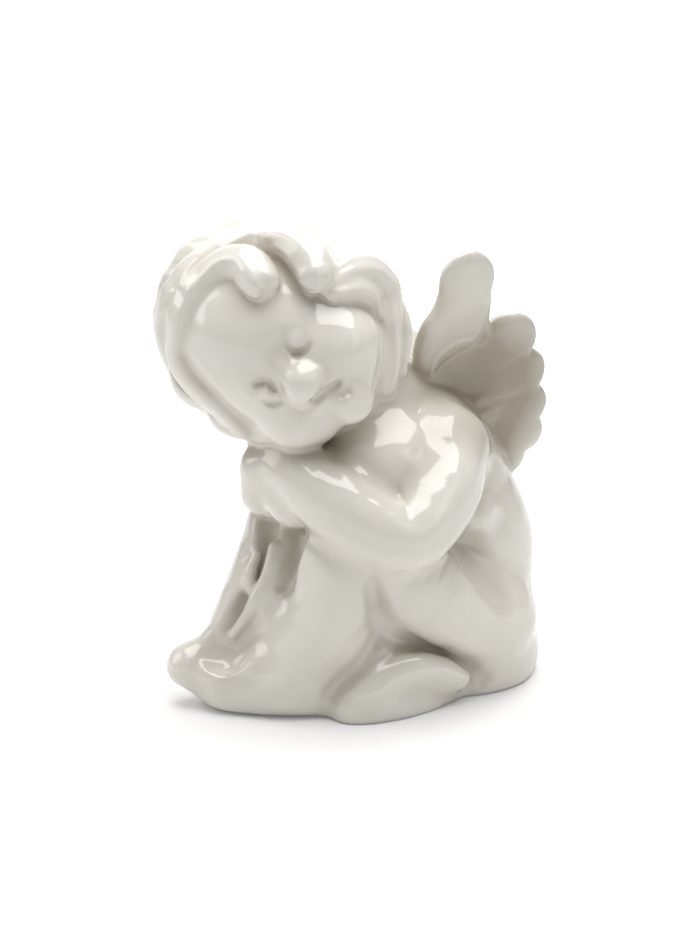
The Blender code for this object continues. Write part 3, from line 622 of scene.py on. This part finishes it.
# The glaze is wiped off the foot, where the bare body is whiter, dry and a little grainy.
height = nodes.new("ShaderNodeSeparateXYZ")
links.new(place.outputs["Object"], height.inputs["Vector"])
wiped = add_node(nodes, "MapRange", {
    "From Min": 0.25 * MM, "From Max": 0.60 * MM, "To Min": 1.0, "To Max": 0.0,
})
links.new(height.outputs["Z"], wiped.inputs["Value"])
grit = add_node(nodes, "TexNoise", {"Scale": 1400.0})
links.new(place.outputs["Object"], grit.inputs["Vector"])
bare = blend(nodes, links, grit.outputs["Fac"], (0.70, 0.68, 0.63, 1.0), (0.84, 0.83, 0.80, 1.0))
foot = blend(nodes, links, wiped.outputs["Result"], body_with_painted_shade, bare)
links.new(foot, shader.inputs["Base Color"])
dry = add_node(nodes, "Mix", {3: 0.75})
links.new(wiped.outputs["Result"], dry.inputs[0])
links.new(shine.outputs["Result"], dry.inputs[2])
links.new(dry.outputs[0], shader.inputs["Roughness"])


def sink(work, made):
    """Divides the faces that close a cut, and keeps them under the surface."""
    for face in made:
        face.material_index = 1
    for _ in range(6):
        caps = [face for face in work.faces if face.material_index == 1]
        cap_edges = dict.fromkeys(edge for face in caps for edge in face.edges)
        long = [edge for edge in cap_edges if edge.calc_length() > CAP_EDGE]
        if not long:
            break
        new = bmesh.ops.subdivide_edges(work, edges=long, cuts=1)["geom_inner"]
        new = [item for item in new if isinstance(item, bmesh.types.BMVert)]
        split = [f for f in work.faces if f.material_index == 1 and len(f.verts) > 3]
        bmesh.ops.triangulate(work, faces=split)
        spots = (np.array([vert.co for vert in new]) / MM - BLOCK_LOW) / GRAIN
        for _ in range(4):
            slope = sample(gradient, spots)
            slope /= np.maximum(np.linalg.norm(slope, axis=1, keepdims=True), 0.1)
            over = np.clip(sample(model, spots) + CUT_DEPTH / MM, 0.0, 2.0)
            spots = spots - slope * over[:, None] / GRAIN
        for vert, spot in zip(new, (BLOCK_LOW + spots * GRAIN) * MM):
            vert.co = spot
    for face in work.faces:
        face.material_index = 0


# Each section gets its share of the skin, with walls along its joints and a cap that closes it.
for number, name in enumerate(sections, 1):
    used, faces = np.unique(quads[labels == number], return_inverse=True)
    mesh = bpy.data.meshes.new(name + "_glazed")
    mesh.from_pydata(points[used].tolist(), [], faces.reshape(-1, 4).tolist())
    work = bmesh.new()
    work.from_mesh(mesh)
    work.verts.ensure_lookup_table()
    rims = [edge for edge in work.edges if edge.is_boundary]
    walls = bmesh.ops.extrude_edge_only(work, edges=rims)["geom"]
    for vert in [item for item in walls if isinstance(item, bmesh.types.BMVert)]:
        others = (edge.other_vert(vert) for edge in vert.link_edges)
        outer = next(other for other in others if 0 <= other.index < len(used))
        vert.co -= Vector(normals[used[outer.index]]) * CUT_DEPTH
    rims = [edge for edge in work.edges if edge.is_boundary]
    made = bmesh.ops.holes_fill(work, edges=rims, sides=0)["faces"]
    sink(work, bmesh.ops.triangulate(work, faces=made)["faces"])
    work.to_mesh(mesh)
    work.free()
    mesh.materials.append(glaze)
    mesh.shade_smooth()
    # Each spot's painted shade is stored on the mesh for the glaze colour.
    shade_and_pool = mesh.attributes.new("shade_and_pool", "FLOAT", "POINT")
    shade_amounts = np.zeros(len(mesh.vertices), np.float32)
    shade_amounts[: len(used)] = shade_and_pooled_glaze[used]
    shade_and_pool.data.foreach_set("value", shade_amounts)
    shading = np.zeros((len(mesh.vertices), 3))
    shading[: len(used)] = normals[used]
    mesh.normals_split_custom_set_from_vertices(shading.tolist())
    piece = bpy.data.objects.new(name + "_glazed", mesh)
    bpy.context.scene.collection.objects.link(piece)
    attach(piece, "root")
    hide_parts(name)

# Floor: a plain sheet of white paper that keeps the figure's soft shadow. The camera sees it grow
# brighter with the distance from the figure, until it is as white as the room behind.
FLOOR_HALF = 3.0
SHADE_NEAR, SHADE_FAR = 0.04, 0.12
WHITE = (1.0, 1.0, 1.0, 1.0)
floor_mesh = bpy.data.meshes.new("floor")
work = bmesh.new()
bmesh.ops.create_grid(work, x_segments=1, y_segments=1, size=FLOOR_HALF)
work.to_mesh(floor_mesh)
work.free()
floor = bpy.data.objects.new("floor", floor_mesh)
bpy.context.scene.collection.objects.link(floor)
paper = bpy.data.materials.new("paper")
paper.use_nodes = True
nodes, links = paper.node_tree.nodes, paper.node_tree.links
sheet = nodes["Principled BSDF"]
sheet.inputs["Base Color"].default_value = (0.88, 0.88, 0.88, 1.0)
sheet.inputs["Roughness"].default_value = 0.9
sheet.inputs["Specular IOR Level"].default_value = 0.0
glow = add_node(nodes, "Emission", {"Color": WHITE})
spread = nodes.new("ShaderNodeTexCoord")
apart = nodes.new("ShaderNodeVectorMath")
apart.operation = "LENGTH"
links.new(spread.outputs["Object"], apart.inputs[0])
fade = add_node(nodes, "MapRange", {
    "From Min": SHADE_NEAR, "From Max": SHADE_FAR, "To Min": 0.1, "To Max": 1.0,
})
fade.interpolation_type = "SMOOTHSTEP"
links.new(apart.outputs["Value"], fade.inputs["Value"])
seen = nodes.new("ShaderNodeLightPath")
amount = nodes.new("ShaderNodeMath")
amount.operation = "MULTIPLY"
links.new(seen.outputs["Is Camera Ray"], amount.inputs[0])
links.new(fade.outputs["Result"], amount.inputs[1])
links.new(amount.outputs[0], glow.inputs["Strength"])
surface = nodes.new("ShaderNodeAddShader")
links.new(sheet.outputs[0], surface.inputs[0])
links.new(glow.outputs[0], surface.inputs[1])
links.new(surface.outputs[0], nodes["Material Output"].inputs["Surface"])
floor_mesh.materials.append(paper)

# Light: a dim white room and four soft boxes round the figure, as on a product table. The camera
# sees the room as plain white.
ROOM_LIGHT = 0.16
world = bpy.data.worlds.new("studio")
bpy.context.scene.world = world
world.use_nodes = True
nodes, links = world.node_tree.nodes, world.node_tree.links
room = nodes["Background"]
room.inputs["Color"].default_value = WHITE
room.inputs["Strength"].default_value = ROOM_LIGHT
backdrop = add_node(nodes, "Background", {"Color": WHITE, "Strength": 1.0})
rays = nodes.new("ShaderNodeLightPath")
choose = nodes.new("ShaderNodeMixShader")
links.new(rays.outputs["Is Camera Ray"], choose.inputs[0])
links.new(room.outputs[0], choose.inputs[1])
links.new(backdrop.outputs[0], choose.inputs[2])
links.new(choose.outputs[0], nodes["World Output"].inputs["Surface"])


def soft_box(name, place, aim, width, height, power):
    lamp = bpy.data.lights.new(name, "AREA")
    lamp.shape = "RECTANGLE"
    lamp.size, lamp.size_y = width, height
    lamp.energy = power
    box = bpy.data.objects.new(name, lamp)
    box.location = place
    box.rotation_euler = (Vector(place) - Vector(aim)).to_track_quat("Z", "Y").to_euler()
    box.visible_camera = False
    bpy.context.scene.collection.objects.link(box)


soft_box("top_box", (0.02, 0.05, 0.75), (0.0, 0.0, 0.04), 0.75, 0.75, 7.2)
soft_box("left_box", (-0.50, -0.50, 0.40), (0.0, 0.0, 0.05), 0.4, 0.5, 1.4)
soft_box("right_box", (0.70, 0.15, 0.45), (0.0, 0.0, 0.05), 0.25, 0.4, 0.3)
soft_box("back_box", (-0.62, 0.52, 0.40), (0.0, 0.0, 0.05), 1.2, 0.8, 2.6)

# Camera: a long lens at the photograph's angle, round to the figure's left from the front and a
# little above it, aimed at the middle of its height.
AZIMUTH, ELEVATION, DISTANCE = math.radians(50.0), math.radians(17.5), 0.48
AIM = Vector((0.0, 0.0, 0.043))
lens = bpy.data.cameras.new("camera")
lens.lens = 99.9
lens.sensor_width = 36.0
camera = bpy.data.objects.new("camera", lens)
bpy.context.scene.collection.objects.link(camera)
view = Vector((math.sin(AZIMUTH) * math.cos(ELEVATION), -math.cos(AZIMUTH) * math.cos(ELEVATION),
               math.sin(ELEVATION)))
camera.location = AIM + view * DISTANCE
camera.rotation_euler = view.to_track_quat("Z", "Y").to_euler()
bpy.context.scene.camera = camera
bpy.context.scene.view_settings.view_transform = "Standard"
